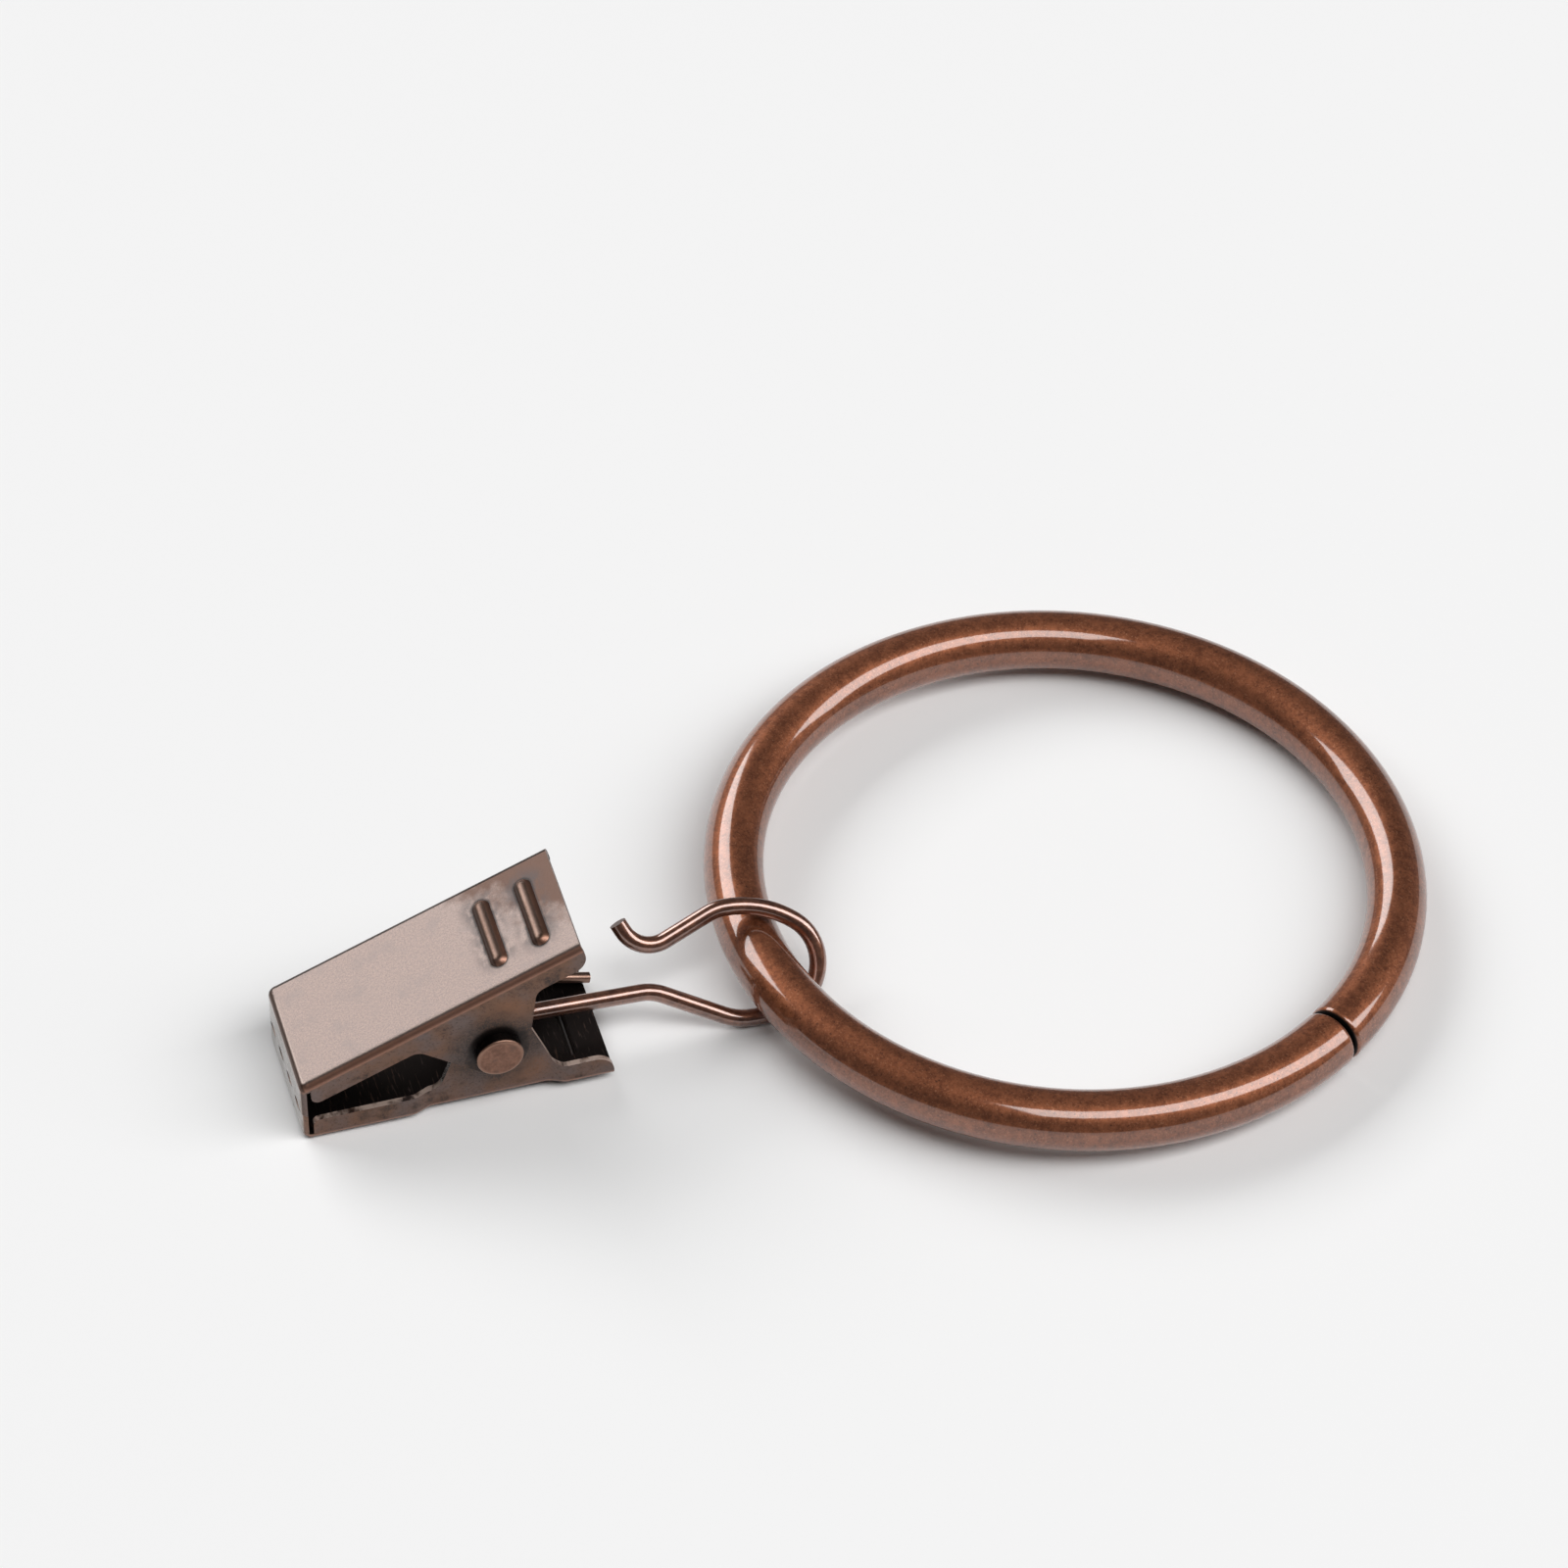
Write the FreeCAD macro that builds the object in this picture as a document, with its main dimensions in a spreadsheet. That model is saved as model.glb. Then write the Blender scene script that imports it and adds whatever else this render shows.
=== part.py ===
import FreeCAD, Part
import Sketcher
import os
import re
from math import cos, pi, radians, sin, tan

# A curtain ring with a spring clip, lying on a table as it comes to rest.
# +X runs along the clip towards the ring, the rivet lies along Y, and the table is z = 0.
# Lengths are in millimetres and angles in degrees.

doc = FreeCAD.newDocument("CurtainRing")
sheet = doc.addObject("Spreadsheet::Sheet", "Sizes")

DRIVING = [
    # the ring: a round bar bent to a circle, its ends butted and left open
    ("ring_inner_dia", 38.1), ("bar_dia", 3.8), ("seam_gap", 0.25), ("seam_round", 0.3),
    ("seam_from_hook", 125.0),
    # the hook: one wire, an eye on the rivet and an S round the bar
    ("wire_dia", 1.1), ("link_gap", 0.1), ("eye_gap", 0.15), ("eye_room", 0.18), ("hook_lean", 40.0),
    ("shank_run", 10.2), ("drop_bend", 3.0), ("drop_angle", 28.0), ("drop_run", 4.07), ("foot_bend", 4.0),
    ("foot_run", 1.5), ("loop_room", 0.68), ("loop_angle", 140.5), ("crown_bend", 6.8), ("crown_angle", 39.5),
    ("brow_bend", 3.0), ("brow_angle", 22.0), ("brow_run", 3.12), ("trough_bend", 2.0),
    ("trough_angle", 87.0), ("tip_run", 0.6), ("bar_back", 0.45), ("ring_aside", 3.0),
    # both jaws: folded strip
    ("sheet_thick", 0.38), ("jaw_width", 8.9), ("fold_round", 0.55), ("strip_high", 1.75), ("jaw_angle", 22.6),
    ("corner_round", 0.56), ("lip_slot", 0.3), ("lip_gap", 0.02), ("tooth_pitch", 2.1), ("tooth_width", 1.4),
    ("tooth_deep", 0.28), ("foot_round", 0.9), ("tab_round", 1.2), ("strip_round", 0.45),
    ("rib_width", 1.15), ("rib_high", 0.35), ("rib_long", 5.5), ("rib_inset", 2.12), ("rib_pitch", 2.87), ("rib_wall", 0.35),
    # the upper jaw, ears outside
    ("upper_front", 11.4), ("upper_rear", 7.9), ("upper_axis", 4.9), ("upper_ear_round", 2.0),
    ("upper_ear_slope", 60.5),
    # the lower jaw, necked in so that its ears pass inside
    ("lower_front", 12.4), ("lower_rear", 7.3), ("lower_axis", 4.6), ("lower_ear_round", 2.4),
    ("lower_ear_slope", 69.0), ("lower_lip", 2.2), ("neck_front", 4.3), ("neck_rear", 3.2), ("neck_run", 1.0),
    ("neck_round", 1.2), ("ear_gap", 0.05),
    # the rivet: flat head on one side, rolled tubular tail on the other
    ("rivet_dia", 2.0), ("rivet_gap", 0.05), ("head_dia", 3.0), ("head_high", 0.7), ("head_round", 0.15),
    ("tail_dia", 3.1), ("tail_high", 0.5), ("tail_bore", 1.4), ("tail_deep", 2.2),
    # the torsion spring on the rivet
    ("spring_wire", 0.7), ("coil_gap", 0.2), ("coil_pitch", 0.74), ("coil_turns", 3.0), ("coil_room", 0.1),
    ("upper_leg", 6.4), ("lower_leg", 7.7), ("leg_gap", 0.01),
]
for row, (alias, number) in enumerate(DRIVING, start=1):
    sheet.set("A%d" % row, alias)
    sheet.set("B%d" % row, str(number))
    sheet.setAlias("B%d" % row, alias)
doc.recompute()


def size(alias):
    """A driving dimension as a plain number."""
    return float(sheet.get(alias))


def bound(text):
    """An expression in the sheet's aliases, with the sheet's name put before each of them."""
    named = re.sub(r"[a-z]\w*", lambda word: PREFIX.get(word.group(), word.group()), text)
    return named.replace(" (", "(")


PREFIX = {alias: "Sizes." + alias for alias, number in DRIVING}

# Sizes that follow from the driving ones, written as expressions.
RING_RADIUS = "( ring_inner_dia + bar_dia ) / 2"
RIB_ROUND = "( ( rib_width ^ 2 / 4 + rib_high ^ 2 ) / ( 2 * rib_high ) )"
LOWER_RIB_X = "( lower_rear - rib_inset - rib_pitch )"
# the lower jaw rests on the fold at its lip and on the rib nearer the rivet
REST_X = "( %s + lower_front - fold_round )" % LOWER_RIB_X
REST_Z = "( %s - rib_high - fold_round )" % RIB_ROUND
LOWER_TILT = "( asin ( ( %s - fold_round ) / sqrt ( %s ^ 2 + %s ^ 2 ) ) - atan2 ( %s ; %s ) )" % (
    RIB_ROUND, REST_X, REST_Z, REST_Z, REST_X)
UPPER_TILT = "( %s + jaw_angle * 1 deg )" % LOWER_TILT
RIVET_Z = ("( fold_round + ( lower_front - fold_round ) * sin ( %s )"
           " + ( lower_axis - fold_round ) * cos ( %s ) )" % (LOWER_TILT, LOWER_TILT))
# the upper lip leans forward from its plate by the angle between the jaws, and so comes straight down on the
# lower one
UPPER_LIP = ("( lower_axis + upper_axis * cos ( jaw_angle ) - upper_front * sin ( jaw_angle )"
             " - lower_lip - lip_gap )")
EYE_RADIUS = "( rivet_dia / 2 + eye_gap + wire_dia / 2 )"
# the foot of the hook, along its shank and across it, in the leaning plane of the S
FOOT_ALONG = ("( shank_run + drop_bend * sin ( drop_angle ) + drop_run * cos ( drop_angle )"
              " + foot_bend * sin ( drop_angle ) + foot_run )")
FOOT_DOWN = "( ( drop_bend + foot_bend ) * ( 1 - cos ( drop_angle ) ) + drop_run * sin ( drop_angle ) )"
FOOT_LOW = "( %s + %s * cos ( hook_lean ) )" % (EYE_RADIUS, FOOT_DOWN)
# the hook dips from the rivet until its foot lies on the table
HOOK_DIP = "( asin ( ( %s - wire_dia / 2 ) / sqrt ( %s ^ 2 + %s ^ 2 ) ) - atan2 ( %s ; %s ) )" % (
    RIVET_Z, FOOT_ALONG, FOOT_LOW, FOOT_LOW, FOOT_ALONG)
# the ring lies on that wire at one side and on the table at the other
RING_TILT = "( asin ( ( wire_dia + link_gap ) / ( 2 * %s ) ) )" % RING_RADIUS
RING_Z = "( ( bar_dia + wire_dia + link_gap ) / 2 )"
# places along X: the whole is centred between the clip's front and the far side of the ring, whose middle
# lies a little aside from the clip's line
BAR_ACROSS = "sqrt ( ( %s ) ^ 2 - ring_aside ^ 2 )" % RING_RADIUS
RING_FROM_RIVET = "( %s - bar_back + %s * cos ( %s ) )" % (FOOT_ALONG, BAR_ACROSS, RING_TILT)
FRONT_FOLD = "( upper_front - fold_round * ( 1 - sin ( jaw_angle ) ) / cos ( jaw_angle ) )"
LIP_FROM_RIVET = "( %s * cos ( %s ) + ( upper_axis - fold_round ) * sin ( %s ) + fold_round )" % (
    FRONT_FOLD, UPPER_TILT, UPPER_TILT)
RIVET_X = "( ( %s - %s - %s * cos ( %s ) - bar_dia / 2 ) / 2 )" % (
    LIP_FROM_RIVET, RING_FROM_RIVET, RING_RADIUS, RING_TILT)


def bind(thing, path, text):
    """Tie one property of a feature to the sheet."""
    thing.setExpression(path, bound(text))


def make_body(name):
    body = doc.addObject("PartDesign::Body", name)
    body.Label = name
    return body


def place(body, x, y, z, lift, first="rotation ( vector ( 0 ; 0 ; 1 ) ; 0 )"):
    """Set a body down at x, y, z: turned first in its own frame, then lifted at its +X end."""
    lifted = "rotation ( vector ( 0 ; -1 ; 0 ) ; %s )" % lift
    bind(body, "Placement", "placement ( vector ( %s ; %s ; %s ) ; %s * %s )" % (x, y, z, lifted, first))


def origin_part(body, role):
    return next(item for item in body.Origin.OriginFeatures if item.Role == role)


def new_sketch(body, plane, name, along="0"):
    """A sketch on one of the body's own planes, moved out along its normal."""
    sketch = body.newObject("Sketcher::SketchObject", name)
    sketch.AttachmentSupport = [(origin_part(body, plane), "")]
    sketch.MapMode = "FlatFace"
    bind(sketch, "AttachmentOffset.Base.z", along)
    return sketch


def add_bound(sketch, kind, where, number, text):
    """A dimension of a sketch that the sheet drives."""
    index = sketch.addConstraint(Sketcher.Constraint(kind, *where, number))
    bind(sketch, "Constraints[%d]" % index, text)


def outline(sketch, corners):
    """A closed outline of straight sides through corners given as pairs of expressions."""
    count = len(corners)
    first = sketch.GeometryCount
    turns = [2 * pi * i / count for i in range(count)]
    spots = [FreeCAD.Vector(10 * cos(turn), 10 * sin(turn), 0) for turn in turns]
    for i in range(count):
        sketch.addGeometry(Part.LineSegment(spots[i], spots[(i + 1) % count]))
    for i in range(count):
        sketch.addConstraint(Sketcher.Constraint("Coincident", first + i, 2, first + (i + 1) % count, 1))
    for i, (across, upward) in enumerate(corners):
        add_bound(sketch, "DistanceX", (-1, 1, first + i, 1), spots[i].x, across)
        add_bound(sketch, "DistanceY", (-1, 1, first + i, 1), spots[i].y, upward)


def circle(sketch, across, upward, diameter):
    index = sketch.addGeometry(Part.Circle(FreeCAD.Vector(1, 1, 0), FreeCAD.Vector(0, 0, 1), 1))
    add_bound(sketch, "DistanceX", (-1, 1, index, 3), 1, across)
    add_bound(sketch, "DistanceY", (-1, 1, index, 3), 1, upward)
    add_bound(sketch, "Diameter", (index,), 2, diameter)


def cut_through(body, sketch, name):
    """Cut a sketch's outline right through the body, both ways."""
    cut = body.newObject("PartDesign::Pocket", name)
    cut.Profile = sketch
    cut.Type = "ThroughAll"
    cut.SideType = "Symmetric"
    doc.recompute()
    return cut


def round_edges(body, name, radius, chosen):
    """Round the edges of the body's last feature whose middle point is chosen."""
    base = body.Tip
    names = []
    for number, edge in enumerate(base.Shape.Edges, start=1):
        middle = edge.valueAt((edge.FirstParameter + edge.LastParameter) / 2)
        if chosen(edge, middle):
            names.append("Edge%d" % number)
    fillet = body.newObject("PartDesign::Fillet", name)
    fillet.Base = (base, names)
    bind(fillet, "Radius", radius)
    doc.recompute()
    return fillet


def near(one, other, room=0.02):
    return abs(one - other) < room


def upright(edge):
    return edge.BoundBox.XLength < 0.01 and edge.BoundBox.YLength < 0.01


def level(edge):
    return edge.BoundBox.ZLength < 0.01


def crosswise(edge):
    return edge.BoundBox.XLength < 0.01 and edge.BoundBox.ZLength < 0.01


# THE JAWS
# Each is a strip folded into a shallow tray: a plate, two side walls that rise to ears round the rivet,
# and a toothed lip in front. In its own frame the plate's outer face is z = 0, the walls rise along +Z,
# the lip faces -X, and the rivet runs along Y at x = 0.
def capsule(body, kind, name, along, deep, radius, length):
    """A rib's round-ended form, laid across the plate."""
    reach = "( %s / 2 - %s )" % (length, radius)
    bar = body.newObject("PartDesign::%sCylinder" % kind, name + "Bar")
    bar.Placement = FreeCAD.Placement(FreeCAD.Vector(), FreeCAD.Rotation(FreeCAD.Vector(1, 0, 0), -90))
    bind(bar, "Placement.Base.x", along)
    bind(bar, "Placement.Base.y", "-" + reach)
    bind(bar, "Placement.Base.z", deep)
    bind(bar, "Radius", radius)
    bind(bar, "Height", "2 * " + reach)
    for end, side in (("Near", "-"), ("Far", "")):
        ball = body.newObject("PartDesign::%sSphere" % kind, name + end)
        bind(ball, "Placement.Base.x", along)
        bind(ball, "Placement.Base.y", side + reach)
        bind(ball, "Placement.Base.z", deep)
        bind(ball, "Radius", radius)


def tray_outline(front, rear, half, necked):
    """Plan of the tray as corners on one side and their mirror images, with a neck where it is necked."""
    side = [(front, half)]
    if necked:
        side.append(("- neck_front - neck_run", half))
        side.append(("- neck_front", half + " - sheet_thick - ear_gap"))
        side.append(("neck_rear", half + " - sheet_thick - ear_gap"))
        side.append(("neck_rear + neck_run", half))
    side.append((rear, half))
    return side + [(across, "- ( %s )" % upward) for across, upward in reversed(side)]


def make_jaw(name, which, necked, lip, lean):
    """A jaw with its lip's length down its face, and how far the lip leans forward from square to the plate."""
    body = make_body(name)
    front, rear, axis = which + "_front", which + "_rear", which + "_axis"
    ear_round, ear_slope = which + "_ear_round", which + "_ear_slope"
    top = "( %s + %s )" % (axis, ear_round)
    half = "( jaw_width / 2 )"
    along_lip = "sin ( %s )" % lean
    through_lip = "cos ( %s )" % lean
    forward = "tan ( %s )" % lean

    plan = new_sketch(body, "XY_Plane", name + "Plan")
    outline(plan, tray_outline("- %s - 2 * %s * %s" % (front, top, forward), rear, half, necked))
    block = body.newObject("PartDesign::Pad", name + "Block")
    block.Profile = plan
    bind(block, "Length", top)
    doc.recompute()

    if necked:
        round_edges(body, name + "Neck", "neck_round",
                    lambda edge, mid: upright(edge) and -size(front) + 0.1 < mid.x < size(rear) - 0.1)
    else:
        slant = new_sketch(body, "XZ_Plane", name + "Slant")
        outline(slant, [
            ("- %s + %s" % (front, forward), "-1"),
            ("- %s - ( %s + 1 ) * %s" % (front, top, forward), top + " + 1"),
            ("- %s - 2 * %s * %s - 1" % (front, top, forward), top + " + 1"),
            ("- %s - 2 * %s * %s - 1" % (front, top, forward), "-1"),
        ])
        cut_through(body, slant, name + "Front")
    round_edges(body, name + "Corners", "corner_round",
                lambda edge, mid: mid.x < -size(front) + 0.02 and near(abs(mid.y), size("jaw_width") / 2)
                and not level(edge))
    round_edges(body, name + "Folds", "fold_round",
                lambda edge, mid: level(edge) and near(mid.z, 0) and not near(mid.x, size(rear)))

    rib_places = [rear + " - rib_inset", rear + " - rib_inset - rib_pitch"]
    rib_deep = "( %s - rib_high )" % RIB_ROUND
    for number, along in enumerate(rib_places, start=1):
        capsule(body, "Additive", "%sRib%d" % (name, number), along, rib_deep, RIB_ROUND,
                "( rib_long + 2 * %s - rib_width )" % RIB_ROUND)

    hollow = new_sketch(body, "XY_Plane", name + "Inside", "sheet_thick")
    inner_front = "( - %s + sheet_thick * ( 1 - %s ) / %s )" % (front, along_lip, through_lip)
    outline(hollow, tray_outline(inner_front, rear + " + sheet_thick", "( jaw_width / 2 - sheet_thick )", necked))
    tray = body.newObject("PartDesign::Pocket", name + "Tray")
    tray.Profile = hollow
    tray.Type = "ThroughAll"
    tray.Reversed = True
    doc.recompute()
    if not necked:
        behind = new_sketch(body, "XZ_Plane", name + "Behind")
        outline(behind, [
            (inner_front, "sheet_thick"),
            (inner_front, "sheet_thick + " + top),
            ("%s - %s * %s" % (inner_front, top, forward), "sheet_thick + " + top),
        ])
        wedge = body.newObject("PartDesign::Pocket", name + "BehindLip")
        wedge.Profile = behind
        wedge.SideType = "Symmetric"
        bind(wedge, "Length", "jaw_width - 2 * sheet_thick")
        doc.recompute()
    round_edges(body, name + "InnerFolds", "fold_round - sheet_thick",
                lambda edge, mid: level(edge) and near(mid.z, size("sheet_thick"))
                and mid.x < size(rear) - 0.1)

    for number, along in enumerate(rib_places, start=1):
        capsule(body, "Subtractive", "%sGroove%d" % (name, number), along, rib_deep,
                "( %s - rib_wall )" % RIB_ROUND,
                "( rib_long + 2 * %s - rib_width - 2 * rib_wall )" % RIB_ROUND)

    # side view: everything above the lip, the strips and the ears is cut away
    ear_foot = "( ( %s + ( %s - strip_high ) * cos ( %s ) ) / sin ( %s ) )" % (
        ear_round, axis, ear_slope, ear_slope)
    ear_top = "( %s * tan ( %s / 2 ) )" % (ear_round, ear_slope)
    lip_foot = "- %s + sheet_thick / %s - %s * %%s" % (front, through_lip, forward)
    lip_end = "- %s - %s * %s" % (front, lip, along_lip)
    lip_down = "%s * %s" % (lip, through_lip)
    sides = new_sketch(body, "XZ_Plane", name + "Sides")
    outline(sides, [
        ("%s - 4 * %s" % (lip_end, through_lip), "%s - 4 * %s" % (lip_down, along_lip)),
        ("%s + sheet_thick * %s" % (lip_end, through_lip), "%s + sheet_thick * %s" % (lip_down, along_lip)),
        (lip_foot % "fold_round", "fold_round"),
        (lip_foot % "fold_round" + " + lip_slot", "fold_round"),
        (lip_foot % "strip_high" + " + lip_slot", "strip_high"),
        ("- " + ear_foot, "strip_high"),
        ("- " + ear_top, top),
        (ear_top, top),
        (ear_foot, "strip_high"),
        (rear + " + 1", "strip_high"),
        (rear + " + 1", top + " + 1"),
        ("%s - 4 * %s" % (lip_end, through_lip), top + " + 1"),
    ])
    cut_through(body, sides, name + "Profile")

    slope = radians(size(ear_slope))
    foot_at = (size(ear_round) + (size(axis) - size("strip_high")) * cos(slope)) / sin(slope)
    apex = size(axis) + size(ear_round)
    round_edges(body, name + "EarFeet", "foot_round",
                lambda edge, mid: crosswise(edge) and near(mid.z, size("strip_high"))
                and near(abs(mid.x), foot_at))
    round_edges(body, name + "EarTops", "0.97 * " + ear_round,
                lambda edge, mid: crosswise(edge) and near(mid.z, apex))
    round_edges(body, name + "TabEnds", "tab_round",
                lambda edge, mid: crosswise(edge) and near(mid.z, size("strip_high"))
                and near(mid.x, size(rear)))
    turned_out = 0.0 if necked else radians(size("jaw_angle"))
    strip_end = (size("sheet_thick") / cos(turned_out) - size("strip_high") * tan(turned_out)
                 + size("lip_slot") - size(front))
    round_edges(body, name + "StripEnds", "strip_round",
                lambda edge, mid: crosswise(edge) and near(mid.z, size("strip_high"))
                and near(mid.x, strip_end))

    bore = new_sketch(body, "XZ_Plane", name + "Bore")
    circle(bore, "0", axis, "rivet_dia + 2 * rivet_gap" if necked else "rivet_dia")
    cut_through(body, bore, name + "RivetHole")

    # shallow scallops, cut square through the lip, leave a row of teeth on it
    teeth = new_sketch(body, "YZ_Plane", name + "Scallops")
    teeth.AttachmentOffset = FreeCAD.Placement(FreeCAD.Vector(), FreeCAD.Rotation(FreeCAD.Vector(-1, 0, 0), 10))
    bind(teeth, "AttachmentOffset.Base.y", "- " + along_lip)
    bind(teeth, "AttachmentOffset.Base.z", "- %s - %s" % (front, through_lip))
    bind(teeth, "AttachmentOffset.Rotation.Angle", lean)
    scallop = "( ( tooth_width ^ 2 / 4 + tooth_deep ^ 2 ) / ( 2 * tooth_deep ) )"
    for step in (-1.5, -0.5, 0.5, 1.5):
        circle(teeth, "%s * tooth_pitch" % step, "%s + %s - tooth_deep" % (lip, scallop), "2 * " + scallop)
    notch = body.newObject("PartDesign::Pocket", name + "Teeth")
    notch.Profile = teeth
    notch.AllowMultiFace = True
    notch.Reversed = True
    bind(notch, "Length", "1 + 2 * sheet_thick")
    doc.recompute()
    return body


lower_jaw = make_jaw("lower_jaw", "lower", True, "lower_lip", "0 deg")
upper_jaw = make_jaw("upper_jaw", "upper", False, UPPER_LIP, "( jaw_angle * 1 deg )")


def from_rivet(tilt, axis, sign):
    """Where a jaw's frame lies when its rivet hole is on the rivet's axis."""
    x = "%s %s %s * sin ( %s )" % (RIVET_X, sign, axis, tilt)
    z = "%s %s %s * cos ( %s )" % (RIVET_Z, "+" if sign == "-" else "-", axis, tilt)
    return x, z


lower_x, lower_z = from_rivet(LOWER_TILT, "lower_axis", "+")
place(lower_jaw, lower_x, "- ring_aside", lower_z, LOWER_TILT)

# the upper jaw is turned over about its length, then lifted at the rear
upper_x, upper_z = from_rivet(UPPER_TILT, "upper_axis", "-")
place(upper_jaw, upper_x, "- ring_aside", upper_z, UPPER_TILT, "rotation ( vector ( 1 ; 0 ; 0 ) ; 180 )")


# THE RIVET
# Turned along Y: a flat head at -Y, a shank through both pairs of ears, a rolled hollow tail at +Y.
rivet = make_body("rivet")
half_section = new_sketch(rivet, "XY_Plane", "RivetSection")
outer = "( jaw_width / 2 )"
outline(half_section, [
    ("0", "- %s - head_high" % outer),
    ("head_dia / 2", "- %s - head_high" % outer),
    ("head_dia / 2", "- " + outer),
    ("rivet_dia / 2", "- " + outer),
    ("rivet_dia / 2", outer),
    ("tail_dia / 2", outer),
    ("( tail_dia + tail_bore ) / 4", outer + " + tail_high"),
    ("tail_bore / 2", outer + " + tail_high / 2"),
    ("tail_bore / 2", outer + " + tail_high - tail_deep"),
    ("0", outer + " + tail_high - tail_deep - tail_bore / 4"),
])
turned = rivet.newObject("PartDesign::Revolution", "RivetTurned")
turned.Profile = half_section
turned.ReferenceAxis = (half_section, ["V_Axis"])
doc.recompute()
round_edges(rivet, "HeadRim", "head_round",
            lambda edge, mid: near(mid.y, -size("jaw_width") / 2 - size("head_high"))
            and edge.BoundBox.YLength < 0.01)
place(rivet, RIVET_X, "- ring_aside", RIVET_Z, "0")


# THE TORSION SPRING
# A close coil on the rivet beside the hook's eye. One leg bears on the upper plate, the other on the lower.
COIL = "( rivet_dia / 2 + coil_gap + spring_wire / 2 )"
UPPER_BEAR = "( upper_axis - sheet_thick - spring_wire / 2 - leg_gap )"
LOWER_BEAR = "( lower_axis - sheet_thick - spring_wire / 2 - leg_gap )"
UPPER_SPAN = "sqrt ( upper_leg ^ 2 + %s ^ 2 )" % UPPER_BEAR
LOWER_SPAN = "sqrt ( lower_leg ^ 2 + %s ^ 2 )" % LOWER_BEAR
# directions from the rivet at which the legs leave the coil
UPPER_LEAVES = "( %s + atan2 ( %s ; upper_leg ) + acos ( %s / %s ) )" % (
    UPPER_TILT, UPPER_BEAR, COIL, UPPER_SPAN)
LOWER_LEAVES = "( %s - atan2 ( %s ; lower_leg ) - acos ( %s / %s ) )" % (
    LOWER_TILT, LOWER_BEAR, COIL, LOWER_SPAN)
WOUND = "( 360 deg * ( coil_turns + 1 ) + %s - %s )" % (LOWER_LEAVES, UPPER_LEAVES)
# along the rivet: the coil lies against the far inner ear, and the hook's eye beside the coil
COIL_FAR = "( jaw_width / 2 - 2 * sheet_thick - ear_gap - coil_room - spring_wire / 2 )"
COIL_NEAR = "( %s - coil_pitch * %s / 360 deg )" % (COIL_FAR, WOUND)
EYE_Y = "( %s - ( spring_wire + wire_dia ) / 2 - eye_room )" % COIL_NEAR

spring = make_body("torsion_spring")
strand = new_sketch(spring, "XY_Plane", "SpringStrand")
circle(strand, COIL, "0", "spring_wire")
coil = spring.newObject("PartDesign::AdditiveHelix", "SpringCoil")
coil.Profile = strand
coil.ReferenceAxis = (origin_part(spring, "Y_Axis"), [""])
coil.Mode = "pitch-turns-angle"
coil.LeftHanded = True
bind(coil, "Pitch", "coil_pitch")
bind(coil, "Turns", "%s / 360 deg" % WOUND)
doc.recompute()

first_leg = spring.newObject("PartDesign::AdditiveCylinder", "UpperLeg")
first_leg.Placement = FreeCAD.Placement(FreeCAD.Vector(), FreeCAD.Rotation(FreeCAD.Vector(1, 0, 0), 180))
bind(first_leg, "Placement.Base.x", COIL)
bind(first_leg, "Radius", "spring_wire / 2")
bind(first_leg, "Height", "sqrt ( %s ^ 2 - %s ^ 2 )" % (UPPER_SPAN, COIL))

last_leg = spring.newObject("PartDesign::AdditiveCylinder", "LowerLeg")
last_leg.Placement = FreeCAD.Placement(FreeCAD.Vector(), FreeCAD.Rotation(FreeCAD.Vector(0, -1, 0), 10))
bind(last_leg, "Placement.Base.x", "%s * cos ( %s )" % (COIL, WOUND))
bind(last_leg, "Placement.Base.y", "coil_pitch * %s / 360 deg" % WOUND)
bind(last_leg, "Placement.Base.z", "%s * sin ( %s )" % (COIL, WOUND))
bind(last_leg, "Placement.Rotation.Angle", WOUND)
bind(last_leg, "Radius", "spring_wire / 2")
bind(last_leg, "Height", "sqrt ( %s ^ 2 - %s ^ 2 )" % (LOWER_SPAN, COIL))
doc.recompute()
place(spring, RIVET_X, COIL_NEAR + " - ring_aside", RIVET_Z, UPPER_LEAVES)


# THE HOOK
# One wire, bent as on a wire-forming bench: straight runs and bends, each tangent to the last.
def bent_wire(sketch, start, heading, steps):
    """Draw runs and bends from a start point; a bend's sign is +1 to the left and -1 to the right."""
    spot = FreeCAD.Vector(start[0], start[1], 0)
    angle = radians(heading)
    last = None
    for step in steps:
        if step[0] == "run":
            length = size(step[1])
            spot_after = spot + FreeCAD.Vector(cos(angle), sin(angle), 0) * length
            index = sketch.addGeometry(Part.LineSegment(spot, spot_after))
            begin, end = 1, 2
        else:
            radius, turn, side = step[1], radians(size(step[3])), step[4]
            centre = spot + FreeCAD.Vector(-sin(angle), cos(angle), 0) * radius * side
            from_angle = angle - side * pi / 2
            after = from_angle + side * turn
            low, high = (from_angle, after) if side > 0 else (after, from_angle)
            full = Part.Circle(centre, FreeCAD.Vector(0, 0, 1), radius)
            index = sketch.addGeometry(Part.ArcOfCircle(full, low, high))
            begin, end = (1, 2) if side > 0 else (2, 1)
            spot_after = centre + FreeCAD.Vector(cos(after), sin(after), 0) * radius
            angle += side * turn
        if last is not None:
            sketch.addConstraint(Sketcher.Constraint("Tangent", last[0], last[1], index, begin))
        if step[0] == "run":
            add_bound(sketch, "Distance", (index,), length, step[1])
        else:
            add_bound(sketch, "Radius", (index,), radius, step[2])
            add_bound(sketch, "Angle", (index,), turn, step[3] + " * 1 deg")
        last = (index, end)
        spot = spot_after


hook = make_body("hook")
eye_radius = size("rivet_dia") / 2 + size("eye_gap") + size("wire_dia") / 2
section = new_sketch(hook, "YZ_Plane", "WireSection", "0")
circle(section, "0", "- " + EYE_RADIUS, "wire_dia")

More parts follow.
